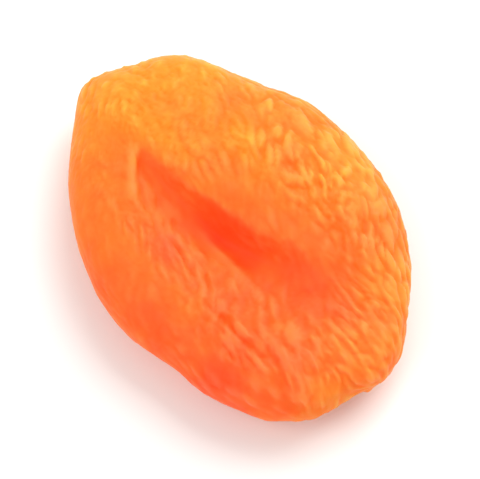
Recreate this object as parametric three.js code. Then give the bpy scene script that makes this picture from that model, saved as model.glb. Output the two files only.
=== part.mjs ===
// A dried apricot, sold whole with its stone taken out: a flattened, slightly lopsided disc whose
// upper skin has sunk into a slanting dent where the stone was pressed out. One side of the dent is
// a plump lobe with a lip, the other a low terrace. Millimetres, +Z up; the stem end points to
// -X, the blossom end to +X, and the fruit lies on a small flat spot at z = 0.
import * as THREE from "three";
import { mergeVertices } from "three/addons/utils/BufferGeometryUtils.js";

// Driving dimensions, mm.
const LENGTH = 42.0; // stem end to blossom end, before the outline's waves
const WIDTH = 29.8;
const TOP = 4.9; // dome above the rim line at its middle
const UNDER = 4.6; // dome below the rim line
const FLAT = 0.2; // how much of the underside is pressed flat
const CELLS = 30; // mesh cells along each edge of the starting cube

const DOME_FULL = 0.62; // how much the dome keeps its height towards the rim
const UNDER_FULL = 0.3; // the same below the rim line
const WARP = 0.5; // how far the ends of the disc lift and twist
const RIM_WAVE = 0.35; // three slow waves up and down along the rim
const RIM_RIPPLE = 0.2; // and five quicker ones
const RIM_SHIFT = 0.13; // draws the mesh's rows towards the rim, which is the tightest bend

// The puckered stem scar on the rim at the stem end.
const STEM_PIT = 1.5; // depth
const STEM_WIDTH = 2.0;
const STEM_HEIGHT = 1.4;
const STEM_Z = -0.7; // from the rim line

// Swellings and hollows of the skin: [x, y, half length, half width, turn deg, height].
const UPPER_SWELLS = [
  [-2, 5.2, 13, 5.4, 12, 1.5], // plump lobe on the +Y side of the dent
  [-4, -10, 10, 3.5, -8, 0.3], // low flank on the -Y side
  [2, -6, 13, 4.2, 6, -0.75], // terrace between the dent and the flank
  [-14.5, -2.5, 4.5, 6, 0, 0.6], // shoulder at the stem end
  [11, 1.2, 6.5, 3.6, 22, -0.5], // shallow valley in which the dent fades
];
const UNDER_SWELLS = [
  [8.5, 6.4, 6.5, 2, 20, 0.9],
  [-11, -4, 5, 2.4, -14, 0.6],
];

// The dent: its lip runs from (LIP_X, LIP_Y) up and away towards the blossom end.
const LIP_X = -11.4;
const LIP_Y = -4.2;
const LIP_RUN = 21.3;
const LIP_CLIMB = 8.1;
const LIP_STARTS = [-12, -4]; // the stretch of x over which the lip comes up from the stem end
const LIP_ENDS = [4, 11]; // and the one over which it runs out
const LIP_EDGE = 1.3; // width of the step under the lip where it is sharp
const LIP_FADE = 4.0; // the same where the lip runs out
const LIP_ROLL = 0.2; // soft bead along the lip
const LIP_LEAN = 0.35; // how far the lip hangs over the dent
const BASIN_DEPTH = 0.8; // broad floor of the dent
const BASIN_WIDTH = 4.6;
const BASIN_ENDS = [5, 14];
const CORE_DEPTH = 2.0; // its deepest stretch, right under the lip
const CORE_WIDTH = 2.7;
const CORE_X = 1.6;
const CORE_REACH = 5.8;
const WALL_TURN = 64; // degrees from X to the normal of the wall that closes the dent at the stem end
const WALL_FOOT = [-0.6, 1.8]; // the wall's slope, measured along that normal
const WALL_RIDGE = 0.3; // soft ridge along the top of the wall
const WALL_RIDGE_STARTS = [-12.5, -9.5];
const WALL_RIDGE_ENDS = [-7, -4.5];

// Waves of the outline seen from above: [direction deg, half width deg, share of the radius].
const WAVES = [
  [-168, 11, 0.053], // shoulder beside the stem end
  [-138, 24, -0.044],
  [-108, 7, -0.019],
  [-66, 11, -0.062], // flat stretch of the -Y rim
  [-60, 7, 0.023],
  [-6, 11, -0.04], // notch at the blossom end
  [42, 24, -0.051],
  [96, 11, -0.024],
  [132, 24, -0.129], // blunt corner of the stem end
  [174, 16, -0.037],
];

// Folds in the upper skin: [x, y, half length, half width, turn deg, height].
const FOLDS = [
  [-0.6, -6.6, 3.4, 0.65, 2, -0.22],
  [0.6, -7.8, 3.0, 0.7, -4, 0.13],
  [9.6, -7.9, 3.0, 0.85, 7, -0.22],
  [9.0, -6.6, 2.8, 0.8, 10, 0.12],
  [13.4, -3.6, 4.0, 0.7, -7, 0.21],
  [12.8, -5.0, 3.4, 0.7, -10, -0.17],
  [14.8, 2.5, 2.8, 0.7, -4, 0.2],
  [14.2, 1.2, 3.0, 0.7, 2, -0.16],
  [17.3, -0.1, 2.6, 0.7, 8, 0.17],
  [4.6, -10.2, 4.4, 0.8, 3, -0.16],
  [-6.4, -9.2, 3.4, 0.9, 12, -0.12],
];

// Coarse wrinkles over the whole skin, drawn from a seed; they run from stem to blossom.
const WRINKLES = 230;
const SEED = 7;
const WRINKLE_LENGTH = [1.5, 3.7]; // half of it
const WRINKLE_WIDTH = [0.85, 1.25];
const WRINKLE_HEIGHT = [0.08, 0.2];
const WRINKLE_SWING = 0.45; // radians to either side
const WRINKLE_BEND = 0.4; // how far it snakes to either side
const WRINKLE_SNAKE = 0.9; // radians of that snaking per mm
const WRINKLE_DEPTH = 2; // it reaches no further than this through the fruit

// The mesh's rows run along the lip and crowd together there, so its edge stays clean.
const ROW_TURN = 29.6; // degrees
const ROW_CROWD = 0.45;
const ROW_BAND = 0.27;

const { sin, cos, exp, sqrt, max, min, PI } = Math;
const rad = PI / 180;

function smoothstep(a, b, x) {
  const t = min(max((x - a) / (b - a), 0), 1);
  return t * t * (3 - 2 * t);
}

const bell = (t) => exp(-t * t);

// A rounded hill of height 1 with its long side turned by `turn` degrees from X.
function hill(x, y, cx, cy, rx, ry, turn = 0) {
  const c = cos(turn * rad);
  const s = sin(turn * rad);
  const u = ((x - cx) * c + (y - cy) * s) / rx;
  const v = (-(x - cx) * s + (y - cy) * c) / ry;
  return exp(-u * u - v * v);
}

function outline(psi) {
  let g = 1;
  for (const [centre, width, height] of WAVES) {
    const off = ((((psi / rad - centre + 180) % 360) + 360) % 360) - 180;
    g += height * bell(off / width);
  }
  return g;
}

function hills(x, y, list) {
  let z = 0;
  for (const [cx, cy, rx, ry, turn, height] of list) z += height * hill(x, y, cx, cy, rx, ry, turn);
  return z;
}

// How the dent moves the skin at (x, y): down by `drop`, and across by `push` along (px, py).
function dent(x, y) {
  const t = (x - LIP_X) / LIP_RUN;
  const lipY = LIP_Y + LIP_CLIMB * (0.74 * t + 0.26 * t ** 4);
  const slope = (LIP_CLIMB * (0.74 + 1.04 * t ** 3)) / LIP_RUN;
  const norm = sqrt(1 + slope * slope);
  const q = (y - lipY) / norm; // distance from the lip, positive on the lobe
  const wall = (x - LIP_X) * cos(WALL_TURN * rad) + (y - LIP_Y) * sin(WALL_TURN * rad);
  const fade = smoothstep(...LIP_ENDS, x); // 0 where the lip is sharp, 1 where it has run out
  const edge = LIP_EDGE + (LIP_FADE - LIP_EDGE) * fade;
  const step = 1 - smoothstep(-edge, 0.5 + fade, q);
  const bank = max(-q - edge, 0);
  const open = smoothstep(...WALL_FOOT, wall);
  const basin = bell(bank / BASIN_WIDTH) * (1 - smoothstep(...BASIN_ENDS, x));
  const core = bell(bank / CORE_WIDTH) * bell((x - CORE_X) / CORE_REACH);
  const lip = smoothstep(...LIP_STARTS, x) * (1 - fade);
  const ridge =
    bell(1 + wall / 0.9) * smoothstep(...WALL_RIDGE_STARTS, x) * (1 - smoothstep(...WALL_RIDGE_ENDS, x));
  return {
    drop:
      step * open * (BASIN_DEPTH * basin + CORE_DEPTH * core) -
      LIP_ROLL * lip * bell((q - 1.1) / 1.1) -
      WALL_RIDGE * ridge,
    push: -LIP_LEAN * lip * bell((q - 0.3) / 0.9),
    px: -slope / norm,
    py: 1 / norm,
  };
}

// The point of the smooth skin in a direction of the unit sphere.
function skin(d) {
  const psi = Math.atan2(d.y, d.x);
  const phi = Math.acos(min(max(d.z, -1), 1));
  const tau = phi - RIM_SHIFT * sin(2 * phi);
  const st = sin(tau);
  const ct = cos(tau);
  const g = outline(psi);
  let x = (LENGTH / 2) * st * cos(psi) * g;
  const y = (WIDTH / 2) * st * sin(psi) * g;
  let z = ct > 0 ? TOP * ct * (1 + DOME_FULL * st * st) : UNDER * ct * (1 + UNDER_FULL * st * st);
  const above = smoothstep(0, 0.5, ct); // 0 at the rim, 1 on the upper skin
  const below = smoothstep(0, 0.5, -ct);
  const { drop, push, px, py } = dent(x, y);
  z += above * (hills(x, y, UPPER_SWELLS) + hills(x, y, FOLDS) - drop);
  z += below * hills(x, y, UNDER_SWELLS);

  // the whole disc is a little warped, and its rim is wavy
  const [along, aside] = [(2 * x) / LENGTH, (2 * y) / WIDTH];
  z += WARP * (along * along - 0.3 * along - along * aside);
  z += st ** 4 * (RIM_WAVE * sin(3 * psi + 0.8) + RIM_RIPPLE * sin(5 * psi));

  const stemEnd = smoothstep(0.4, 0.8, -d.x);
  x += STEM_PIT * bell(y / STEM_WIDTH) * bell((z - STEM_Z) / STEM_HEIGHT) * stemEnd;
  return new THREE.Vector3(x + above * push * px, y + above * push * py, z);
}

// A small seeded generator of numbers from 0 to 1.
function draws(seed) {
  let a = seed;
  return () => {
    a = (a + 0x6d2b79f5) | 0;
    let t = Math.imul(a ^ (a >>> 15), a | 1);
    t ^= t + Math.imul(t ^ (t >>> 7), t | 61);
    return ((t ^ (t >>> 14)) >>> 0) / 4294967296;
  };
}

// Each wrinkle: its place on the skin, its own axes, its size and its height.
function wrinkles() {
  const next = draws(SEED);
  const list = [];
  for (let i = 0; i < WRINKLES; i++) {
    const up = 2 * next() - 1;
    const turn = 2 * PI * next();
    const ring = sqrt(1 - up * up);
    const [swing, bend] = [(2 * next() - 1) * WRINKLE_SWING, 2 * PI * next()];
    const [long, wide, high] = [WRINKLE_LENGTH, WRINKLE_WIDTH, WRINKLE_HEIGHT].map(
      ([low, top]) => low + (top - low) * next(),
    );
    const d = new THREE.Vector3(ring * cos(turn), ring * sin(turn), up);
    const t = new THREE.Vector3(1, 0, 0).addScaledVector(d, -d.x).normalize();
    const s = new THREE.Vector3().crossVectors(d, t);
    const at = skin(d);
    const towards = (way) => skin(d.clone().addScaledVector(way, 0.05).normalize()).sub(at);
    const ahead = towards(t).normalize();
    const aside = towards(s);
    aside.addScaledVector(ahead, -aside.dot(ahead)).normalize();
    const u = ahead.clone().multiplyScalar(cos(swing)).addScaledVector(aside, sin(swing));
    const v = aside.clone().multiplyScalar(cos(swing)).addScaledVector(ahead, -sin(swing));
    list.push({
      at,
      u,
      v,
      n: new THREE.Vector3().crossVectors(u, v),
      bend,
      long,
      wide,
      high: i % 2 ? high : -high,
    });
  }
  return list;
}

function relief(p, list) {
  const r = new THREE.Vector3();
  let h = 0;
  for (const w of list) {
    r.subVectors(p, w.at);
    const ru = r.dot(w.u);
    const rv = r.dot(w.v) + WRINKLE_BEND * sin(WRINKLE_SNAKE * ru + w.bend);
    const rn = r.dot(w.n) / WRINKLE_DEPTH;
    h += w.high * exp(-((ru / w.long) ** 2) - (rv / w.wide) ** 2 - rn * rn);
  }
  return h;
}

// Where a point of the starting cube goes on the unit sphere.
function direction(p) {
  const quarter = PI / 4;
  p.set(Math.tan(p.x * quarter), Math.tan(p.y * quarter), Math.tan(p.z * quarter)).normalize();
  p.y *= 1 - ROW_CROWD * bell(p.y / ROW_BAND) * smoothstep(0, 0.5, p.z);
  const c = cos(ROW_TURN * rad);
  const s = sin(ROW_TURN * rad);
  return p.set(p.x * c - p.y * s, p.x * s + p.y * c, p.z).normalize();
}

function apricotGeometry() {
  const box = new THREE.BoxGeometry(2, 2, 2, CELLS, CELLS, CELLS);
  box.deleteAttribute("uv");
  box.deleteAttribute("normal");
  const geometry = mergeVertices(box, 1e-5);
  const position = geometry.getAttribute("position");
  const p = new THREE.Vector3();
  for (let i = 0; i < position.count; i++) {
    p.fromBufferAttribute(position, i);
    const s = skin(direction(p));
    position.setXYZ(i, s.x, s.y, s.z);
  }
  geometry.computeVertexNormals();
  const normal = geometry.getAttribute("normal");
  const list = wrinkles();
  const n = new THREE.Vector3();
  for (let i = 0; i < position.count; i++) {
    p.fromBufferAttribute(position, i);
    n.fromBufferAttribute(normal, i);
    // the blossom end is the more wrinkled, the skin the fruit lies on the least
    const lying = smoothstep(0, -2, p.z) * bell(p.x / 9) * bell(p.y / 6.5);
    const much = (0.55 + 0.6 * smoothstep(-14, 16, p.x)) * (1 - 0.85 * lying);
    p.addScaledVector(n, much * relief(p, list));
    position.setXYZ(i, p.x, p.y, p.z);
  }
  // press the underside flat and stand the fruit on z = 0, centred
  geometry.computeBoundingBox();
  const { min: low, max: high } = geometry.boundingBox;
  const [cx, cy, floor] = [(low.x + high.x) / 2, (low.y + high.y) / 2, low.z + FLAT];
  for (let i = 0; i < position.count; i++) {
    position.setXYZ(
      i,
      position.getX(i) - cx,
      position.getY(i) - cy,
      max(position.getZ(i) - floor, 0),
    );
  }
  geometry.deleteAttribute("normal");
  return geometry;
}

const flesh = new THREE.MeshStandardMaterial({ color: "#f08a30", roughness: 0.55 });
const apricot = new THREE.Mesh(apricotGeometry(), flesh);
apricot.name = "apricot";

const part = new THREE.Group();
part.add(apricot);
export default part;
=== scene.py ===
# %% [markdown]
# # A dried apricot
#
# A ripe apricot is stoned, dried in the sun and pressed nearly flat. The flesh shrinks, and the skin,
# which can't shrink with it, gathers into wrinkles. The side that the stone left sinks into a dent with
# one sharp lip. This lesson takes the plain solid of the fruit, refines it, wrinkles its skin, and gives
# it the look of moist, translucent flesh under a thin, dull skin. The fruit lies along X, with its stem
# end at the low side and its blossom end at the high side. The dent runs along it, with a plump lobe
# behind its steep wall, towards +Y, and a flat flank in front of it, towards -Y.

# %% Load the solid model
import math

import bmesh
import bpy
import numpy as np
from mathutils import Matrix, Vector


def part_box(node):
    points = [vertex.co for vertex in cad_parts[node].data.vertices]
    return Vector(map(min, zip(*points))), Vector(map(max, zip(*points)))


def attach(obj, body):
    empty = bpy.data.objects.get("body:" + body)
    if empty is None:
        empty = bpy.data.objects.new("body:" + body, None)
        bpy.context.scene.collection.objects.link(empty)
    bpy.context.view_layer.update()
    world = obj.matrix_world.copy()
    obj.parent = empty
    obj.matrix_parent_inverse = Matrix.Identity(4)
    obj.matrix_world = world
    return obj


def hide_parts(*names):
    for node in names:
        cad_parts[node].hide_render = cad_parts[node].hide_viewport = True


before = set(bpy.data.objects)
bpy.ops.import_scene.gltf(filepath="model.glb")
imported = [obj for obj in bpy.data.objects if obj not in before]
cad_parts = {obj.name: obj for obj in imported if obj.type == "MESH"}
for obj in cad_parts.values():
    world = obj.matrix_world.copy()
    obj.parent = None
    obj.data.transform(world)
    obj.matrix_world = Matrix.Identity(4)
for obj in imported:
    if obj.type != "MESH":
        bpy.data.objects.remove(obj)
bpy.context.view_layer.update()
MM = 0.001
fruit_low, fruit_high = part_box("apricot")
print("solid, mm:", [round(side / MM, 2) for side in fruit_high - fruit_low])

# %% [markdown]
# ## A copy of the solid
#
# The solid has triangles about 0.8 mm wide: enough for the dent, the lobe and the coarse folds, but not
# for wrinkles half a millimetre wide. A sculptor would add those with brushes on a Multires modifier.
# Here they are worked out in code, so that they can be changed by a number, and the first step is a copy
# of the solid. It starts as loose triangles, so its points are merged before anything else.

# %% Copy the solid and merge its points
MERGE_DISTANCE = 0.001 * MM
cage = bmesh.new()
cage.from_mesh(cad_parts["apricot"].data)
bmesh.ops.remove_doubles(cage, verts=cage.verts[:], dist=MERGE_DISTANCE)
bmesh.ops.recalc_face_normals(cage, faces=cage.faces[:])
cage_mesh = bpy.data.meshes.new("cage")
cage.to_mesh(cage_mesh)
print("merged:", len(cage.verts), "points,", len(cage.faces), "triangles")

# %% Read a mesh as arrays


def mesh_arrays(mesh):
    """Points and triangles of a mesh as arrays, points in millimetres."""
    points = np.empty(len(mesh.vertices) * 3)
    mesh.vertices.foreach_get("co", points)
    mesh.calc_loop_triangles()
    triangles = np.empty(len(mesh.loop_triangles) * 3, int)
    mesh.loop_triangles.foreach_get("vertices", triangles)
    return points.reshape(-1, 3) / MM, triangles.reshape(-1, 3)


def point_normals(points, triangles):
    """The outward direction at each point, as the mean of its triangles' directions."""
    a, b, c = (points[triangles[:, k]] for k in range(3))
    face = np.cross(b - a, c - a)
    normals = np.zeros_like(points)
    for corner in range(3):
        for axis in range(3):
            normals[:, axis] += np.bincount(triangles[:, corner], face[:, axis], len(points))
    return normals / np.linalg.norm(normals, axis=1)[:, None]


points, triangles = mesh_arrays(cage_mesh)
print("highest point of the copy, mm:", points[:, 2].max().round(2))

# %% [markdown]
# ## Numbers that spread over a surface
#
# Three later steps need a blur that works on a curved surface: one finds the hollows, one rounds the
# facets, and one turns random dots into wrinkles. Blender's Smooth modifier blurs only positions, and a
# texture can't follow the skin. So numbers on the points are spread to their neighbours, step by step,
# as heat spreads. Each triangle passes them between its corners by how steeply they slope over it, so
# its own size leaves no trace. Where a direction is given, they spread faster along it than across it,
# which draws a dot out into a streak.

# %% How strongly neighbouring points pull on each other
NO_DIRECTION = 1e-9  # keeps a division safe where no direction is given
SMALLEST_AREA = 0.6  # of the median, so that a few tiny triangles don't slow the spreading down


def neighbour_pulls(points, triangles, ways, across):
    """Every pair of neighbouring points, and the pull between their values."""
    corners = [points[triangles[:, k]] for k in range(3)]
    face = np.cross(corners[1] - corners[0], corners[2] - corners[0])
    doubled_area = np.linalg.norm(face, axis=1)
    up = face / doubled_area[:, None]
    # how a number that is 1 at one corner and 0 at the other two falls off over the triangle
    slopes = [
        np.cross(up, corners[(k + 2) % 3] - corners[(k + 1) % 3]) / doubled_area[:, None]
        for k in range(3)
    ]
    # the given direction, laid into the triangle's own plane
    way = ways[triangles].sum(1)
    way -= up * (way * up).sum(1)[:, None]
    way /= np.linalg.norm(way, axis=1)[:, None] + NO_DIRECTION
    pairs, pulls = [], []
    for a, b in ((0, 1), (1, 2), (2, 0)):
        pull = across * (slopes[a] * slopes[b]).sum(1)
        pull += (1 - across) * (slopes[a] * way).sum(1) * (slopes[b] * way).sum(1)
        pairs.append(np.sort(triangles[:, [a, b]], axis=1))
        pulls.append(-pull * doubled_area / 2)
    # two triangles share most pairs, so their pulls are added up
    pairs = np.concatenate(pairs)
    key, at = np.unique(pairs[:, 0] * len(points) + pairs[:, 1], return_inverse=True)
    return key // len(points), key % len(points), np.bincount(at, np.concatenate(pulls))


def point_areas(points, triangles):
    """The part of the surface that belongs to each point, with the smallest ones evened out."""
    a, b, c = (points[triangles[:, k]] for k in range(3))
    doubled_area = np.linalg.norm(np.cross(b - a, c - a), axis=1)
    area = np.zeros(len(points))
    for corner in range(3):
        # a third of each triangle goes to each of its corners
        area += np.bincount(triangles[:, corner], doubled_area / 6, len(points))
    return np.maximum(area, SMALLEST_AREA * np.median(area))


print("surface of the copy, mm2:", point_areas(points, triangles).sum().round())

# %% Spread numbers over a mesh
STEADY = 0.95  # just under the longest step that doesn't start to swing


class Spread:
    """Spreads numbers over a mesh, by `across` as fast across `ways` as along them."""

    def __init__(self, points, triangles, ways=None, across=1.0):
        if ways is None:
            ways = np.zeros_like(points)
        one, other, pull = neighbour_pulls(points, triangles, ways, across)
        area = point_areas(points, triangles)
        # each pair pulls both ways, and the pulls are sorted by the point that they act on
        target = np.concatenate([one, other])
        source = np.concatenate([other, one])
        pull = np.concatenate([pull, pull])
        order = np.argsort(target, kind="stable")
        total = np.bincount(target, abs(pull), len(points))
        self.time = STEADY / (total / area).max()
        share = (pull / area[target])[order] * self.time
        self.source = source[order]
        self.starts = np.searchsorted(target[order], np.arange(len(points)))
        self.share = share.astype(np.float32)
        self.kept = (1 - np.add.reduceat(share, self.starts)).astype(np.float32)

    def steps_for(self, width):
        """How many steps blur by a bell curve of this half width, in millimetres."""
        return max(1, round(width ** 2 / (2 * self.time)))

    def blur(self, values, steps):
        """The values after this many steps, column by column."""
        if values.ndim == 2:
            return np.stack([self.blur(values[:, k], steps) for k in range(values.shape[1])], 1)
        values = values.astype(np.float32)
        for _ in range(steps):
            gained = np.add.reduceat(values[self.source] * self.share, self.starts)
            values = values * self.kept + gained
        return values.astype(float)


spread = Spread(points, triangles)
print("steps for a blur of 1 mm:", spread.steps_for(1))

# %% [markdown]
# ## Hollows
#
# The skin is stretched smooth in the dent and over its lip, so the wrinkles have to know where those are.
# A point in a hollow lies under the surface that a wide blur leaves, and a point on a lip lies above it.
# That height is stored on the points as an attribute, because it then survives the cuts that follow.

# %% Measure how deep each point lies in a hollow
HOLLOW_BLUR = 2.6  # millimetres
smooth = spread.blur(points, spread.steps_for(HOLLOW_BLUR))
depth = ((smooth - points) * point_normals(points, triangles)).sum(1)
hollow_layer = cage.verts.layers.float.new("hollow")
for point, point_depth in zip(cage.verts, depth):
    point[hollow_layer] = point_depth
print("hollow, mm:", depth.min().round(2), "to", depth.max().round(2))

# %% [markdown]
# ## Fine enough for wrinkles
#
# Cutting each edge in four makes sixteen triangles of each one, 0.2 mm wide. A Subdivision Surface would
# do that too, but it pulls a sharp rim inwards. Cuts leave every new triangle in the plane of its old
# one, so the facets still show. Blurring the points rounds them, but it also shrinks the fruit, so each
# blur is followed by a step the other way, which puts the size back and leaves only the corners softened.

# %% Cut each edge in four
CUTS = 3
bmesh.ops.subdivide_edges(cage, edges=cage.edges[:], cuts=CUTS, use_grid_fill=True)
bmesh.ops.triangulate(cage, faces=cage.faces[:])
skin_mesh = bpy.data.meshes.new("dried_apricot")
cage.to_mesh(skin_mesh)
cage.free()
bpy.data.meshes.remove(cage_mesh)
points, triangles = mesh_arrays(skin_mesh)
hollow = np.empty(len(points))
skin_mesh.attributes["hollow"].data.foreach_get("value", hollow)
print("refined:", len(points), "points,", len(triangles), "triangles")

# %% Round the facets without shrinking the fruit
FACET_BLUR = 0.35  # millimetres
FACET_ROUNDS = 3
spread = Spread(points, triangles)
facet_steps = spread.steps_for(FACET_BLUR)
for _ in range(FACET_ROUNDS):
    softer = spread.blur(points, facet_steps)
    points = softer + (softer - spread.blur(softer, facet_steps))
normals = point_normals(points, triangles)
x, y, z = points.T
print("facets rounded in", facet_steps, "steps, highest point, mm:", z.max().round(2))

# %% [markdown]
# ## The way the wrinkles run
#
# The pressed fruit is squeezed from side to side, so its skin wrinkles along it, from the stem end to the
# blossom end. They run a little askew, wander slowly, and fan out at the blossom end. A texture node
# draws its stripes straight through space. Here every point gets its own direction in the skin instead,
# turned from the fruit's length by some degrees.

# %% Soft, uneven noise
SEED = 41
WAVES = 24
WAVE_VARIETY = 0.3  # how much shorter or longer than asked a wave may be
CONTRAST = 1.6  # how far the noise is pushed towards its two ends
rng = np.random.default_rng(SEED)


def slow_noise(points, size):
    """A smooth random field with features of about this size, in millimetres, from -1 to 1."""
    field = np.zeros(len(points))
    for _ in range(WAVES):
        way = rng.normal(size=3)
        closeness = rng.uniform(1 - WAVE_VARIETY, 1 + WAVE_VARIETY)
        way *= closeness * 2 * math.pi / (size * np.linalg.norm(way))
        field += np.sin(points @ way + rng.uniform(0, 2 * math.pi))
    return np.tanh(CONTRAST * field / math.sqrt(WAVES / 2))


print("waves in each noise:", WAVES)

# %% An S-shaped curve


def smoothstep(start, full, values):
    """0 up to `start`, 1 from `full` on, and an S-shaped curve between them."""
    t = np.clip((values - start) / (full - start), 0, 1)
    return t * t * (3 - 2 * t)


print("a quarter, half and three quarters of the way:", smoothstep(0, 1, np.array([0.25, 0.5, 0.75])))

# %% Turn the wrinkles' direction at each point
SKEW = -22  # degrees from the fruit's length, seen from above
SKEW_AT_STEM = -10
FAN_AT_BLOSSOM = 34
FAN_ON_FLANK = 12
WANDER = 10
WANDER_SIZE = 9  # millimetres, as all places and sizes on the skin are from here on
STEM_SKEW_X = (-4, -15)  # where a turn starts and where it is full
BLOSSOM_FAN_X = (7, 16)
BLOSSOM_FAN_Y = (-6, 6)
FLANK_FAN_X = (6, 10)
FLANK_FAN_Y = (-4, -7)
NO_LENGTH = 1e-6  # keeps a division safe at the fruit's two tips


def wrinkle_ways(points, normals):
    """The direction in which the wrinkles run at each point."""
    lengthwise = np.zeros_like(points)
    lengthwise[:, 0] = 1
    lengthwise -= normals * normals[:, :1]
    lengthwise /= np.linalg.norm(lengthwise, axis=1)[:, None] + NO_LENGTH
    sideways = np.cross(normals, lengthwise)
    turn = SKEW + SKEW_AT_STEM * smoothstep(*STEM_SKEW_X, x)
    turn += FAN_AT_BLOSSOM * smoothstep(*BLOSSOM_FAN_X, x) * smoothstep(*BLOSSOM_FAN_Y, y)
    turn += FAN_ON_FLANK * smoothstep(*FLANK_FAN_X, x) * smoothstep(*FLANK_FAN_Y, y)
    turn = np.radians(turn + WANDER * slow_noise(points, WANDER_SIZE))
    return lengthwise * np.cos(turn)[:, None] + sideways * np.sin(turn)[:, None]


ways = wrinkle_ways(points, normals)
print("mean direction:", ways.mean(0).round(2))

# %% [markdown]
# ## Wrinkles of six sizes
#
# Dried skin carries wrinkles of several sizes on top of each other. Each set starts as a random number on
# every point. Spread a little and spread further, and the difference of the two keeps only ridges of one
# width, drawn out along the wrinkles' direction. Then it is shaped. Without its sign it has rounded
# folds with narrow creases between them: tucks and gathers. Its ridges alone are beads or long streaks.
# Turned over, they are slits. Left as it is, it makes specks.

# %% Ridges of one width
NEAR_BLUR = 0.175  # of the distance from crest to crest
FAR_BLUR = 0.28


def ripples(width, stretch):
    """Random ridges about `width` millimetres from crest to crest and `stretch` times as long."""
    spread = Spread(points, triangles, ways, 1 / stretch ** 2)
    near = spread.steps_for(NEAR_BLUR * width * stretch)
    far = spread.steps_for(FAR_BLUR * width * stretch)
    close = spread.blur(rng.normal(size=len(points)), near)
    height = close - spread.blur(close, far - near)
    print("ripples of", width, "mm in", far, "steps")
    return height / height.std()


# %% Shape the ridges
CREASE_POWER = 0.8  # below 1, which narrows the creases


def folds(ripple):
    """Rounded ridges on both sides of narrow creases."""
    raised = np.abs(ripple) ** CREASE_POWER
    return raised - raised.mean()


def crests(ripple, sharpness):
    """Keeps the ridges and fills the grooves between them, so that the ridges stand alone."""
    raised = np.logaddexp(0, sharpness * ripple) / sharpness
    return raised - raised.mean()


print("a crease and the fold beside it:", folds(np.array([0.0, 1.0])).round(2))

# %% Draw the six sets
DEEPEST_SLIT = -1.3  # in the set's own units, in which most ridges are about 1 high
tucks = folds(ripples(width=3.4, stretch=2.0))
gathers = folds(ripples(width=2.0, stretch=2.2))
beads = crests(ripples(width=1.25, stretch=2.3), sharpness=2.4)
streaks = crests(ripples(width=1.3, stretch=3.4), sharpness=1.6)
slits = np.maximum(-crests(ripples(width=1.5, stretch=2.4), sharpness=2.2), DEEPEST_SLIT)
specks = ripples(width=0.75, stretch=1.3)
print("highest tuck", tucks.max().round(1), "and bead", beads.max().round(1))

# %% [markdown]
# ## Where the skin is wrinkled, and how
#
# The lobe carries tucks, gathers and beads, stronger towards the blossom end. The flank is streaked,
# and towards its rim it is nearly smooth. The wall of the dent, its lip and the skin above it are smooth
# too, but for the lip's stem end. Each such place is a number from 0 to 1 on every point, worked out
# from where the point lies. Together they say how slack the skin is, and so how high its wrinkles rise.
# Weight painting would do the same by hand, but the numbers can be read and changed.

# %% Find the wall of the dent
WALL_ENDS = (-10, 9)  # along the fruit
WALL_REACH = 5  # across the fruit, to either side of its middle
WALL_LEVEL = 7.9  # over the table
SLICE_HALF = 0.4
LIP_BEHIND_WALL = 0.8  # from the steepest line of the wall to the crest of the lip
slices = np.arange(WALL_ENDS[0] + 1, WALL_ENDS[1])
wall_y = []
for slice_x in slices:
    in_slice = (abs(x - slice_x) < SLICE_HALF) & (abs(y) < WALL_REACH) & (z > WALL_LEVEL)
    here = np.flatnonzero(in_slice)
    wall_y.append(y[here[normals[here, 1].argmin()]])
wall_line = np.polyfit(slices, wall_y, deg=3)
below_lip = np.polyval(wall_line, np.clip(x, *WALL_ENDS)) + LIP_BEHIND_WALL - y
print("wall of the dent, y:", np.round(wall_y, 1))

# %% Helpers for places on the fruit


def lengthways(starts, full, still_full, ends):
    """1 along the middle of a stretch of the fruit's length, fading out at both of its ends."""
    return smoothstep(starts, full, x) * smoothstep(ends, still_full, x)


def bell(values):
    """1 at nought, and about a third at 1 on either side."""
    return np.exp(-(values ** 2))


def spot(middle_x, middle_y, half_length, half_width):
    """1 at one place, seen from above, falling off around it."""
    return bell((x - middle_x) / half_length) * bell((y - middle_y) / half_width)


def blend(outside, inside, place):
    """The first value outside a place, the second inside it, and a mix on its border."""
    return outside + (inside - outside) * place


print("one width from the middle of a bell:", bell(1.0).round(2))

# %% Stretch the skin smooth in the dent and over its lip
SUNKEN = (0.25, 0.9)  # how deep in a hollow
PROUD = (-0.55, -1.1)  # how far out of one
LIP_LEVEL = (7, 8)
LEFT_IN_DENT = 0.15  # the share of their height that the wrinkles keep
LEFT_ON_LIP = 0.4
in_dent = smoothstep(*SUNKEN, hollow)
on_lip = smoothstep(*PROUD, hollow) * smoothstep(*LIP_LEVEL, z)
slack = blend(1, LEFT_IN_DENT, in_dent) * blend(1, LEFT_ON_LIP, on_lip)
print("share of the skin that is stretched smooth:", (slack < 0.5).mean().round(2))

# %% And beyond the dent's end and behind the lip
DENT_TAIL = (9.5, 2.7, 3, 1.8)  # middle in x and y, half length and half width
BEHIND_LIP = 2.5  # from the crest of the lip
BEHIND_LIP_HALF = 2
BEHIND_LIP_X = (-5, -2, 7, 9)
LEFT_ON_TAIL = 0.25
LEFT_BEHIND_LIP = 0.45
behind_lip = bell((below_lip + BEHIND_LIP) / BEHIND_LIP_HALF) * lengthways(*BEHIND_LIP_X)
slack *= blend(1, LEFT_ON_TAIL, spot(*DENT_TAIL)) * blend(1, LEFT_BEHIND_LIP, behind_lip)
print("share with these:", (slack < 0.5).mean().round(2))

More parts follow.
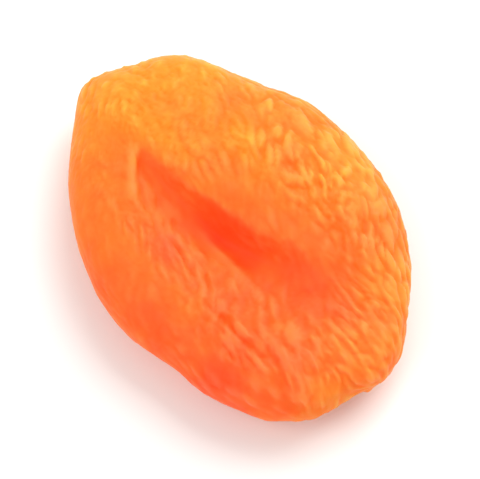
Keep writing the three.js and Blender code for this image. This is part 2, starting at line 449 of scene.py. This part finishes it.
# %% Leave it slack away from the dent
SLACK_BY_DENT = 0.5
SLACK_ON_LOBE = (1, 7)  # how far from the crest of the lip
SLACK_ON_FLANK = (3, 7)
SLACK_TO_BLOSSOM = (9, 13)  # along the fruit
SLACK_TO_STEM = (-9, -13)
LIP_BY_STEM = (-9, -0.8, 2.5, 2)
LIP_BY_STEM_GAIN = 1.2
beside_dent = np.maximum(smoothstep(*SLACK_ON_LOBE, -below_lip), smoothstep(*SLACK_ON_FLANK, below_lip))
at_an_end = np.maximum(smoothstep(*SLACK_TO_BLOSSOM, x), smoothstep(*SLACK_TO_STEM, x))
slack *= blend(SLACK_BY_DENT, 1, np.maximum(beside_dent, at_an_end))
slack *= 1 + LIP_BY_STEM_GAIN * spot(*LIP_BY_STEM)
print("mean slack:", slack.mean().round(2))

# %% Divide the skin into lobe, flank and blossom end
TOWARDS_BLOSSOM = (-14, 6)
FLANK_Y = (1, -4)
FLANK_SLANT = 0.25  # across the fruit for each millimetre along it
BLOSSOM_END = (11, 17)
EDGE_X = [-12, 0, 8, 13, 18]  # the line past which the flank is smoother, seen from above
EDGE_Y = [-9.5, -9.0, -8.8, -7.7, -6.3]
PAST_EDGE = (0.3, -1.5)
along = smoothstep(*TOWARDS_BLOSSOM, x)
flank = smoothstep(*FLANK_Y, y - FLANK_SLANT * x)
blossom_end = smoothstep(*BLOSSOM_END, x)
outer_flank = smoothstep(*PAST_EDGE, y - np.interp(x, EDGE_X, EDGE_Y))
print("share of the skin on the flank:", flank.mean().round(2))

# %% Uneven patches
PATCH_SIZE = 6  # patches have more beads and slits, and fewer streaks, than the skin between them
DRIFT_SIZE = 5  # the drift varies the gathers and frays the edge of the bare flesh
patches = 0.5 + 0.5 * slow_noise(points, PATCH_SIZE)
drift = 0.5 + 0.5 * slow_noise(points, DRIFT_SIZE)
print("mean of the patches:", patches.mean().round(2), "and of the drift:", drift.mean().round(2))

# %% Share the beads and streaks out
BEADS_AT_STEM = 0.35
BEADS_ON_FLANK = 0.25
STREAKS_AT_STEM = 0.4
STREAKS_ON_LOBE = 0.25
STREAKS_ON_FLANK = 0.85
STREAKS_BY_BLOSSOM = 1.1
BY_BLOSSOM_X = (7, 13)
BY_BLOSSOM_Y = (9, 4)
beaded = blend(BEADS_AT_STEM, 1, along) * blend(1, BEADS_ON_FLANK, flank * (1 - blossom_end))
streaked = blend(STREAKS_AT_STEM, 1, along) * blend(STREAKS_ON_LOBE, STREAKS_ON_FLANK, flank)
streaked += STREAKS_BY_BLOSSOM * smoothstep(*BY_BLOSSOM_X, x) * smoothstep(*BY_BLOSSOM_Y, y)
print("strongest beads:", beaded.max().round(2), "and streaks:", streaked.max().round(2))

# %% Add up the wrinkles' heights
TUCK_HEIGHT = 0.16
GATHER_HEIGHT = 0.17
BEAD_HEIGHT = 0.13
STREAK_HEIGHT = 0.10
SPECK_HEIGHT = 0.02
FOLDS_AT_STEM = 0.4
TUCKS_ON_FLANK = 0.15
GATHERS_ON_FLANK = 0.6
LEFT_ON_OUTER_FLANK = 0.55
GATHER_DRIFT = (0.6, 1.2)
BEAD_PATCHES = (0.35, 1.25)  # between the patches and in them
STREAK_PATCHES = (1.2, 0.6)
folded = blend(FOLDS_AT_STEM, 1, along)
rise = TUCK_HEIGHT * tucks * folded * blend(1, TUCKS_ON_FLANK, flank)
rise += GATHER_HEIGHT * gathers * folded * blend(1, GATHERS_ON_FLANK, flank) * blend(*GATHER_DRIFT, drift)
rise += BEAD_HEIGHT * beads * beaded * blend(*BEAD_PATCHES, patches)
rise += STREAK_HEIGHT * streaks * streaked * blend(*STREAK_PATCHES, patches)
rise += SPECK_HEIGHT * specks
rise *= slack * blend(1, LEFT_ON_OUTER_FLANK, outer_flank)
print("rise, mm:", rise.min().round(2), "to", rise.max().round(2))

# %% [markdown]
# ## Slits, folds and creases of their own
#
# Some marks on the fruit are no pattern. Along the foot of the dent, pressing has buckled the skin of
# the flank into a row of short slits. One fold runs across the corner at the dent's stem end, a crease
# and a low rim end its floor, and a few long folds run over the flank to the blossom end. They follow
# lines, so each is a height that falls off from a line seen from above. A bevelled curve would lie on
# the skin like a cord, while a height stays part of it.

# %% Slit the skin along the foot of the dent
SLIT_HEIGHT = 0.19
SLIT_PATCHES = (0.4, 1)  # between the patches and in them
FOOT_X = [-12, -8, -3, 1, 5, 9, 14]  # the foot of the dent, seen from above
FOOT_Y = [-5.0, -6.0, -5.7, -6.0, -6.8, -7.4, -8.8]
FOOT_HALF = 1.4
FOOT_LENGTH = (-13, -10, 11, 15)
FOOT_LEVEL = (5, 6)
buckled = bell((y - np.interp(x, FOOT_X, FOOT_Y)) / FOOT_HALF) * lengthways(*FOOT_LENGTH)
buckled *= smoothstep(*FOOT_LEVEL, z) * blend(*SLIT_PATCHES, patches)
rise += SLIT_HEIGHT * slits * buckled
print("deepest with the slits, mm:", rise.min().round(2))

# %% Draw single folds and creases
UPPER_LEVEL = 5  # the strokes stay above this height
STROKES = (
    # from x and y to x and y, half width and height
    ((-11.2, -3.7), (-6.6, -7.6), 0.52, 0.34),
    ((-10.3, -3.6), (-7.4, -6.6), 0.45, -0.34),
    ((-2.9, -5.7), (2.4, -6.0), 0.32, 0.18),
    ((-2.2, -6.2), (2.0, -6.7), 0.26, -0.20),
    ((-3.2, -6.6), (2.2, -7.2), 0.36, 0.16),
    ((-0.8, -2.5), (7.6, -2.0), 0.45, -0.15),
    ((-1.8, -3.3), (8.0, -2.9), 0.45, 0.18),
    ((7.0, -7.9), (13.0, -7.3), 0.34, 0.24),
    ((8.0, -7.4), (12.4, -6.7), 0.26, -0.16),
    ((11.0, -4.7), (19.8, -5.1), 0.34, 0.22),
    ((12.0, -5.6), (17.6, -6.0), 0.28, -0.18),
    ((11.2, -3.3), (16.0, -3.4), 0.34, 0.18),
)


def near_line(start, end, half_width):
    """1 in the middle of a line on the upper side, falling off beside it and towards its ends."""
    start, way = np.array(start), np.subtract(end, start)
    offset = points[:, :2] - start
    along_line = np.clip(offset @ way / (way @ way), 0, 1)
    distance = np.linalg.norm(offset - along_line[:, None] * way, axis=1)
    arch = 4 * along_line * (1 - along_line)
    return bell(distance / half_width) * (z > UPPER_LEVEL) * arch


for start, end, half_width, stroke_height in STROKES:
    rise += stroke_height * near_line(start, end, half_width)
print("rise with the strokes, mm:", rise.min().round(2), "to", rise.max().round(2))

# %% [markdown]
# ## Raise the skin
#
# Where several sets meet, their heights would add up to spikes, so the sum is bent under a cap. On the
# steep rim a ridge would notch the outline, and where the fruit lies on the table it is pressed flat, so
# the heights fade in both places. A Displace modifier would need them as a texture or a vertex group.
# Moving the points along their normals needs neither.

# %% Cap the heights and move the points
RISE_CAP = 0.34
RIM_TILT = 0.55  # how far up or down the skin may face and still be on the rim
LEFT_ON_RIM = 0.4
LYING_LEVEL = (0.9, 0.1)
LEFT_WHERE_LYING = 0.1
rise = RISE_CAP * np.tanh(rise / RISE_CAP)
on_rim = bell(normals[:, 2] / RIM_TILT)
lying = smoothstep(*LYING_LEVEL, z)
left = blend(1, LEFT_ON_RIM, on_rim) * blend(1, LEFT_WHERE_LYING, lying)
points = points + normals * (rise * left)[:, None]
points[:, 2] = np.maximum(points[:, 2], 0)
print("capped rise, mm:", rise.min().round(2), "to", rise.max().round(2))

# %% Fit the skin inside the solid's box
solid_low, solid_high = (np.array(corner) / MM for corner in (fruit_low, fruit_high))
centre = (solid_low + solid_high) / 2
fit = (solid_high - solid_low) / (points.max(0) - points.min(0))
points = centre + (points - (points.max(0) + points.min(0)) / 2) * fit
skin_mesh.vertices.foreach_set("co", (points * MM).ravel())
skin_mesh.update()
print("fitted by", fit.round(3))

# %% [markdown]
# ## Where the colour changes
#
# The wall of the dent and the floor at its foot are bare, moist flesh, and they are the deepest
# red-orange, with a rather sharp edge where the skin of the flank begins; the same red paints in the
# shade that the lip casts into the dent. The skin is yellower on the lobe, on its crown and at both tips,
# and more orange on the flank, with uneven blushes; part of this is painted light on the lobe and tips
# and painted shade on the flank. The blossom end is dry and pale, and a pale spot on the back of the lobe
# is a painted highlight. Painted vertex colours could hold all this. Here each cause is one number on
# every point, which the material turns into colour, so that each stays adjustable.

# %% The bare wall of the dent, red with its flesh and with painted shade under the lip
UPPER_SIDE = (3.5, 5.5)  # heights over the table
REDDER_X = (-10, 1)  # along the fruit
WEAKER_X = (0, 6)
WEAKER = 0.65  # of the full red
WALL_END_X = 4.6  # the wall ends at a line that slants across the fruit
WALL_END_SLANT = 0.9
PAST_END = (1.5, -2)
LIP_EDGE = (-0.2, 0.5)  # below the crest of the lip
upper = smoothstep(*UPPER_SIDE, z)
past_end = x - (WALL_END_X - WALL_END_SLANT * y)
wall_part = smoothstep(*REDDER_X, x) * blend(1, WEAKER, smoothstep(*WEAKER_X, x))
wall_part *= smoothstep(*PAST_END, past_end) * smoothstep(*LIP_EDGE, below_lip)
print("share of the skin on or below the wall:", (upper * wall_part > 0.5).mean().round(3))

# %% Where the skin of the flank begins
SHARPER_X = (-3, 1)
FLESH_TO = (1.2, 2.2)  # below the crest of the lip, first by the stem end, then by the blossom end
SKIN_FROM = (4.0, 3.4)
TONGUE_X = -2  # where the skin reaches further in
TONGUE_HALF = 2
TONGUE_LENGTH = 0.9
RAGGEDNESS = 0.8
sharper = smoothstep(*SHARPER_X, x)
skin_from = blend(*SKIN_FROM, sharper) - TONGUE_LENGTH * bell((x - TONGUE_X) / TONGUE_HALF)
ragged = RAGGEDNESS * (drift - 0.5)
wall_part *= 1 - smoothstep(blend(*FLESH_TO, sharper), skin_from, below_lip + ragged)
print("share that is bare wall:", (upper * wall_part > 0.5).mean().round(3))

# %% The floor and the corner by the stem end, red with flesh and with painted shade
FLOOR_X = 8.5
FLOOR_HALF = 4.5
FLOOR_STRENGTH = 0.45
FLOOR_EDGE = (-0.2, 0.8)  # below the crest of the lip
FLOOR_END = (6.5, 3.5)
CORNER_X = [-10.5, -9, -6, -3, 0, 3]  # the line at which its red flesh and painted shade end, seen from above
CORNER_Y = [-4.2, -5.5, -6.3, -5.6, -4.4, -3.2]
CORNER_LENGTH = (-11, -10, -2, 2)
CORNER_STRENGTH = 0.5
CORNER_EDGE = (-0.5, 0.7)
CORNER_LIP_EDGE = (0, 0.6)
floor_part = FLOOR_STRENGTH * bell((x - FLOOR_X) / FLOOR_HALF)
floor_part *= smoothstep(*FLOOR_EDGE, below_lip) * smoothstep(*FLOOR_END, below_lip)
above_corner = y - np.interp(x, CORNER_X, CORNER_Y)
corner_part = CORNER_STRENGTH * lengthways(*CORNER_LENGTH)
corner_part *= smoothstep(*CORNER_LIP_EDGE, below_lip) * smoothstep(*CORNER_EDGE, above_corner)
# bare flesh and the shade that the lip casts into the dent, painted as one red
flesh_and_shade = upper * np.clip(np.maximum(wall_part, corner_part) + floor_part, 0, 1)
print("share of the skin that is bare flesh:", (flesh_and_shade > 0.5).mean().round(3))

# %% Where the skin is yellower or more orange, partly as painted light and shade
YELLOW_MIDDLE = 0.08  # 0 is deep orange and 1 is yellow orange
YELLOW_PER_X = -0.016  # for each millimetre towards the blossom end
YELLOW_PER_LOBE_Y = 0.026  # and for each millimetre up the lobe, which is painted light where it faces the lamp
# the flank turns more orange towards its rim, as painted shade
YELLOW_PER_FLANK_Y = 0.008
LOBE_Y = (0, 9)
STEM_TIP_STRENGTH = 0.30
STEM_TIP_X = (-10, -17)
BLOSSOM_TIP_STRENGTH = 0.32
BLOSSOM_TIP_X = (8, 18)
BLOSSOM_TIP_Y = (-9, 2)
tone_and_light = YELLOW_MIDDLE + YELLOW_PER_X * x
tone_and_light += YELLOW_PER_LOBE_Y * np.clip(y, *LOBE_Y) + YELLOW_PER_FLANK_Y * np.minimum(y, 0)
# both tips lighter, partly as painted light on their rims
tone_and_light += STEM_TIP_STRENGTH * smoothstep(*STEM_TIP_X, x)
tone_and_light += BLOSSOM_TIP_STRENGTH * smoothstep(*BLOSSOM_TIP_X, x) * smoothstep(*BLOSSOM_TIP_Y, y)
print("sunny:", tone_and_light.min().round(2), "to", tone_and_light.max().round(2))

# %% A yellow crown, and a yellow lip by the stem end, both painted light on the lobe
CROWN_STRENGTH = 0.25
CROWN_BEHIND_LIP = 6.5
CROWN_HALF = 3.5
CROWN_X = (8, 0)
YELLOW_LIP_STRENGTH = 0.4
YELLOW_LIP_BEHIND = 1.8
YELLOW_LIP_HALF = 1.6
YELLOW_LIP_X = (-14, -11, -8, -5)
crown = upper * bell((below_lip + CROWN_BEHIND_LIP) / CROWN_HALF) * smoothstep(*CROWN_X, x)
yellow_lip = upper * bell((below_lip + YELLOW_LIP_BEHIND) / YELLOW_LIP_HALF) * lengthways(*YELLOW_LIP_X)
tone_and_light += CROWN_STRENGTH * crown + YELLOW_LIP_STRENGTH * yellow_lip
print("sunny with them:", tone_and_light.min().round(2), "to", tone_and_light.max().round(2))

# %% Uneven blushes, mixed with painted light and shade
BLUSHES_AND_PAINTED_LIGHT = (
    # x and y, half length, half width, and how much yellower
    (2.5, 12.0, 4.0, 2.5, 0.26),
    (13.0, 8.5, 3.0, 2.0, 0.1),
    (16.3, -7.2, 1.6, 1.6, 0.22),
    (20.0, -3.5, 1.8, 3.0, 0.55),
    (-14.0, -2.5, 3.0, 2.0, 0.22),
    (-5.5, 4.7, 1.8, 1.2, 0.2),
    (5.5, -8.8, 2.2, 1.5, 0.25),
    (9.0, -11.5, 3.0, 1.5, 0.15),
    (-5.0, -11.5, 3.0, 2.0, 0.12),
    (12.5, 2.0, 3.0, 2.5, -0.3),
    (16.3, -3.5, 1.8, 2.0, -0.2),
    (16.5, 4.5, 1.8, 2.5, -0.15),
    (-1.0, 6.8, 3.5, 1.8, -0.18),
    (-9.5, 6.0, 3.5, 2.2, -0.15),
    (-0.5, -7.4, 2.5, 1.6, -0.25),
    (14.0, -11.5, 3.0, 1.5, -0.4),
)
for *where, yellower in BLUSHES_AND_PAINTED_LIGHT:
    tone_and_light += yellower * spot(*where)
print("blushes:", len(BLUSHES_AND_PAINTED_LIGHT))

# %% Where the skin is dry and pale, and where a highlight is painted
PALE_TIP = (8, 19)
PALE_TIP_SLANT = 0.15
PALE_PATCHES = 0.25
PALE_PATCH_SIZE = 4
# a painted highlight on the back of the lobe
HIGHLIGHT_SPOT_STRENGTH = 0.9
HIGHLIGHT_SPOT = (4.5, 11.5, 4.5, 2.5)
# dry, pale skin at the blossom tip, which also paints in the light on its rim
pale_tip = smoothstep(*PALE_TIP, x + PALE_TIP_SLANT * y)
pale_tip *= 1 - PALE_PATCHES + PALE_PATCHES * slow_noise(points, PALE_PATCH_SIZE)
pale_and_highlight = np.maximum(pale_tip, HIGHLIGHT_SPOT_STRENGTH * upper * spot(*HIGHLIGHT_SPOT))
print("share of the skin that is pale:", (pale_and_highlight > 0.5).mean().round(2))

# %% How far each point stands on a ridge
RIDGE_UNIT = 0.1
CREST_GAIN = 1.5  # crests show more than grooves, for their painted glint
ridge = np.where(rise > 0, CREST_GAIN, 1) * rise / RIDGE_UNIT
print("ridge:", ridge.min().round(1), "to", ridge.max().round(1))

# %% Store the numbers and hand over the piece
for name, values in (("ridge", ridge), ("flesh_and_shade", flesh_and_shade), ("tone_and_light", tone_and_light), ("pale_and_highlight", pale_and_highlight)):
    attribute = skin_mesh.attributes.new(name, "FLOAT", "POINT")
    attribute.data.foreach_set("value", values)
for polygon in skin_mesh.polygons:
    polygon.use_smooth = True
fruit = bpy.data.objects.new("dried_apricot", skin_mesh)
bpy.context.scene.collection.objects.link(fruit)
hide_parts("apricot")
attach(fruit, "root")
print("attributes:", [a.name for a in skin_mesh.attributes if a.data_type == "FLOAT"])

# %% [markdown]
# ## Sun-dried apricot
#
# The skin of a dried apricot is thin, dull and a little sticky, and the flesh under it is moist and
# translucent. Light goes in, red travels furthest and comes out a millimetre or two away, so thin edges
# glow and shaded folds stay warm. That takes subsurface scattering with a long red radius. The shine is
# broad and weak. A ridge is drier and paler than a groove, where the light that gets in is filtered
# twice, so the ridge number tints the colour as well: it paints shade into the grooves and a glint of
# highlight onto the crests.

# %% Helpers for materials


def colour(hex_code):
    """An sRGB hex value as the linear colour that nodes take."""
    parts = [int(hex_code[k : k + 2], 16) / 255 for k in (1, 3, 5)]
    return [v / 12.92 if v <= 0.04045 else ((v + 0.055) / 1.055) ** 2.4 for v in parts] + [1]


def add(tree, kind, settings=None, links=None):
    """Adds a node, sets its properties or inputs, and links inputs from other nodes' outputs."""
    node = tree.nodes.new("ShaderNode" + kind)
    for key, value in (settings or {}).items():
        if isinstance(key, str) and hasattr(node, key):
            setattr(node, key, value)
        else:
            node.inputs[key].default_value = value
    for key, socket in (links or {}).items():
        tree.links.new(socket, node.inputs[key])
    return node


print("apricot orange in linear light:", [round(part, 3) for part in colour("#FE8C25")])

# %% Bring in the numbers and two noises
MOTTLE = 6 * MM  # from one pale patch to the next
FRECKLE = 2.5 * MM
apricot = bpy.data.materials.new("dried_apricot_flesh")
apricot.use_nodes = True
tree = apricot.node_tree
shader = tree.nodes["Principled BSDF"]
place = add(tree, "TexCoord").outputs["Object"]
number = {
    name: add(tree, "Attribute", {"attribute_name": name}).outputs["Fac"]
    for name in ("ridge", "flesh_and_shade", "tone_and_light", "pale_and_highlight")
}
mottle = add(tree, "TexNoise", {"Scale": 1 / MOTTLE, "Detail": 3.0}, {"Vector": place}).outputs["Fac"]
freckle = add(tree, "TexNoise", {"Scale": 1 / FRECKLE, "Detail": 1.0}, {"Vector": place}).outputs["Fac"]
print("numbers in the material:", list(number))

# %% From deep orange to yellow orange, a mix that holds painted light and shade too
DEEP_ORANGE = colour("#FE5421")
YELLOW_ORANGE = colour("#FE8C25")
MOTTLE_SHARE = 0.31
FRECKLE_SHARE = 0.3
MULTIPLY_ADD = {"operation": "MULTIPLY_ADD"}  # socket 0 times socket 1, and socket 2 added
COLOURS = {"data_type": "RGBA"}
SHARE, FIRST, SECOND, MIXED = 0, 6, 7, 2  # the sockets of a Mix node that mixes colours
uneven = add(
    tree, "Math", {**MULTIPLY_ADD, 1: MOTTLE_SHARE}, {0: mottle, 2: number["tone_and_light"]}
).outputs[0]
tone_and_light_share = add(tree, "Math", {**MULTIPLY_ADD, 1: FRECKLE_SHARE}, {0: freckle, 2: uneven}).outputs[0]
orange = add(
    tree, "Mix", {**COLOURS, FIRST: DEEP_ORANGE, SECOND: YELLOW_ORANGE}, {SHARE: tone_and_light_share}
).outputs[MIXED]
print("nodes so far:", len(tree.nodes))

# %% Painted shade in the grooves and a painted glint on the paler crests
# the grooves get painted shade, the crests drier, paler skin and a painted glint
GROOVE_SHADE_TINT = (1, 0.79, 0.45, 1)  # factors on red, green and blue
CREST_DRY_AND_GLINT_TINT = (1, 1.44, 2.9, 1)
GROOVE = -1.5  # ridge numbers
CREST = 2.5
groove_to_crest = add(
    tree, "MapRange", {"From Min": GROOVE, "From Max": CREST}, {"Value": number["ridge"]}
).outputs[0]
shade_and_glint_tint = add(
    tree, "Mix", {**COLOURS, FIRST: GROOVE_SHADE_TINT, SECOND: CREST_DRY_AND_GLINT_TINT}, {SHARE: groove_to_crest}
).outputs[MIXED]
with_shade_and_glint = add(
    tree, "Mix", {**COLOURS, "blend_type": "MULTIPLY", SHARE: 1.0}, {FIRST: orange, SECOND: shade_and_glint_tint}
).outputs[MIXED]
print("nodes so far:", len(tree.nodes))

# %% Dry, pale skin with a painted highlight, and moist, bare flesh with painted shade
# pale yellow for dry skin and for the painted highlight
DRY_SKIN_AND_HIGHLIGHT = colour("#FFAA50")
# deep red for bare flesh and for the painted shade in the dent
BARE_FLESH_AND_SHADE = colour("#FE3A16")
DRY_AND_HIGHLIGHT_SHARE = 0.25
FLESH_AND_SHADE_SHARE = 0.56
MULTIPLY = {"operation": "MULTIPLY"}
dryness_and_highlight = add(tree, "Math", {**MULTIPLY, 1: DRY_AND_HIGHLIGHT_SHARE}, {0: number["pale_and_highlight"]}).outputs[0]
dried = add(
    tree, "Mix", {**COLOURS, SECOND: DRY_SKIN_AND_HIGHLIGHT}, {SHARE: dryness_and_highlight, FIRST: with_shade_and_glint}
).outputs[MIXED]
flesh_and_shade_mix = add(tree, "Math", {**MULTIPLY, 1: FLESH_AND_SHADE_SHARE}, {0: number["flesh_and_shade"]}).outputs[0]
fruit_colour = add(
    tree, "Mix", {**COLOURS, SECOND: BARE_FLESH_AND_SHADE}, {SHARE: flesh_and_shade_mix, FIRST: dried}
).outputs[MIXED]
tree.links.new(fruit_colour, shader.inputs["Base Color"])
print("nodes so far:", len(tree.nodes))

# %% Light inside the flesh and a dull shine on it
shader.inputs["Subsurface Weight"].default_value = 0.9
shader.inputs["Subsurface Radius"].default_value = (1.0, 0.22, 0.07)
shader.inputs["Subsurface Scale"].default_value = 1.6 * MM
shader.inputs["Roughness"].default_value = 0.42
shader.inputs["IOR"].default_value = 1.45
shader.inputs["Specular IOR Level"].default_value = 0.1
shader.inputs["Sheen Weight"].default_value = 0.05
shader.inputs["Sheen Roughness"].default_value = 0.4
shader.inputs["Sheen Tint"].default_value = colour("#FFB070")
print("red light travels, mm:", round(shader.inputs["Subsurface Scale"].default_value / MM, 2))

# %% The skin's own grain
GRAIN = 0.25 * MM
GRAIN_HEIGHT = 0.03 * MM
grain = add(tree, "TexNoise", {"Scale": 1 / GRAIN, "Detail": 4.0}, {"Vector": place}).outputs["Fac"]
bump = add(tree, "Bump", {"Strength": 0.5, "Distance": GRAIN_HEIGHT}, {"Height": grain})
tree.links.new(bump.outputs[0], shader.inputs["Normal"])
skin_mesh.materials.append(apricot)
print("material:", apricot.name, "with", len(tree.nodes), "nodes")

# %% [markdown]
# ## The table
#
# The fruit lies on a matt white board. A plane that reaches far past the view does for it: it catches
# the soft shadow and throws light back up under the rim. It isn't part of the fruit, so it is only staged.

# %% Lay the fruit on a white board
BOARD_HALF = 2.0  # metres
board = bmesh.new()
bmesh.ops.create_grid(board, x_segments=1, y_segments=1, size=BOARD_HALF)
board_mesh = bpy.data.meshes.new("table")
board.to_mesh(board_mesh)
board.free()
table = bpy.data.objects.new("table", board_mesh)
bpy.context.scene.collection.objects.link(table)
white = bpy.data.materials.new("matt_white_board")
white.use_nodes = True
white_shader = white.node_tree.nodes["Principled BSDF"]
white_shader.inputs["Base Color"].default_value = colour("#F4F3F0")
white_shader.inputs["Roughness"].default_value = 0.7
board_mesh.materials.append(white)
print("board, m:", [round(side, 2) for side in table.dimensions])

# %% [markdown]
# ## Soft light
#
# Wrinkles show best when light comes from the side, and a skin that shines a little needs lights with
# soft edges. One large soft box stands behind and to the right, a weaker one at the front left opens the
# shadows, and an even white surround keeps the board pale. Each lamp aims at the fruit.

# %% An even white surround
world = bpy.data.worlds.new("studio")
bpy.context.scene.world = world
world.use_nodes = True
surround = world.node_tree.nodes["Background"]
surround.inputs["Color"].default_value = colour("#FFFFFF")
surround.inputs["Strength"].default_value = 0.65
print("surround:", round(surround.inputs["Strength"].default_value, 2))

# %% Two soft boxes
VIEW_AZIMUTH = math.radians(54.85)  # how far round the fruit the viewer stands
VIEW_ELEVATION = math.radians(66)
view_right = Vector((math.cos(VIEW_AZIMUTH), math.sin(VIEW_AZIMUTH), 0))
view_away = Vector((-math.sin(VIEW_AZIMUTH), math.cos(VIEW_AZIMUTH), 0))


def soft_box(name, right, away, height, size, power):
    """A square lamp, placed as the viewer sees it, in metres and watts, and aimed at the fruit."""
    lamp = bpy.data.lights.new(name, "AREA")
    lamp.size = size
    lamp.energy = power
    holder = bpy.data.objects.new(name, lamp)
    holder.location = view_right * right + view_away * away + Vector((0, 0, height))
    holder.rotation_euler = (-holder.location).to_track_quat("-Z", "Y").to_euler()
    bpy.context.scene.collection.objects.link(holder)
    print(name, "at", [round(v, 2) for v in holder.location])


soft_box("key", right=0.20, away=0.27, height=0.36, size=0.45, power=2.4)
soft_box("fill", right=-0.30, away=-0.20, height=0.40, size=0.40, power=1.1)

# %% [markdown]
# ## The camera
#
# The fruit is seen steeply from above, from its flank and across its length. A short lens close by would
# widen the near rim, so a long lens stands half a metre away, which keeps the outline true.

# %% Look down on the fruit through a long lens
LENS = 400  # millimetres, as the sensor is
SENSOR = 36
DISTANCE = 508.3 * MM
AIM_HEIGHT = 6 * MM
SHIFT_RIGHT = 0.36 * MM
SHIFT_DOWN = 1.45 * MM
NEAREST = 10 * MM
flat = math.cos(VIEW_ELEVATION)
camera_back = -view_away * flat + Vector((0, 0, math.sin(VIEW_ELEVATION)))
camera_up = view_away * math.sin(VIEW_ELEVATION) + Vector((0, 0, flat))
aim = Vector((0, 0, AIM_HEIGHT)) + view_right * SHIFT_RIGHT - camera_up * SHIFT_DOWN
lens = bpy.data.cameras.new("camera")
lens.lens = LENS
lens.sensor_width = SENSOR
lens.clip_start = NEAREST
camera = bpy.data.objects.new("camera", lens)
camera.location = aim + camera_back * DISTANCE
camera.rotation_euler = (-camera_back).to_track_quat("-Z", "Y").to_euler()
bpy.context.scene.collection.objects.link(camera)
bpy.context.scene.camera = camera
bpy.context.scene.view_settings.view_transform = "Standard"
print("camera at", [round(v, 3) for v in camera.location])
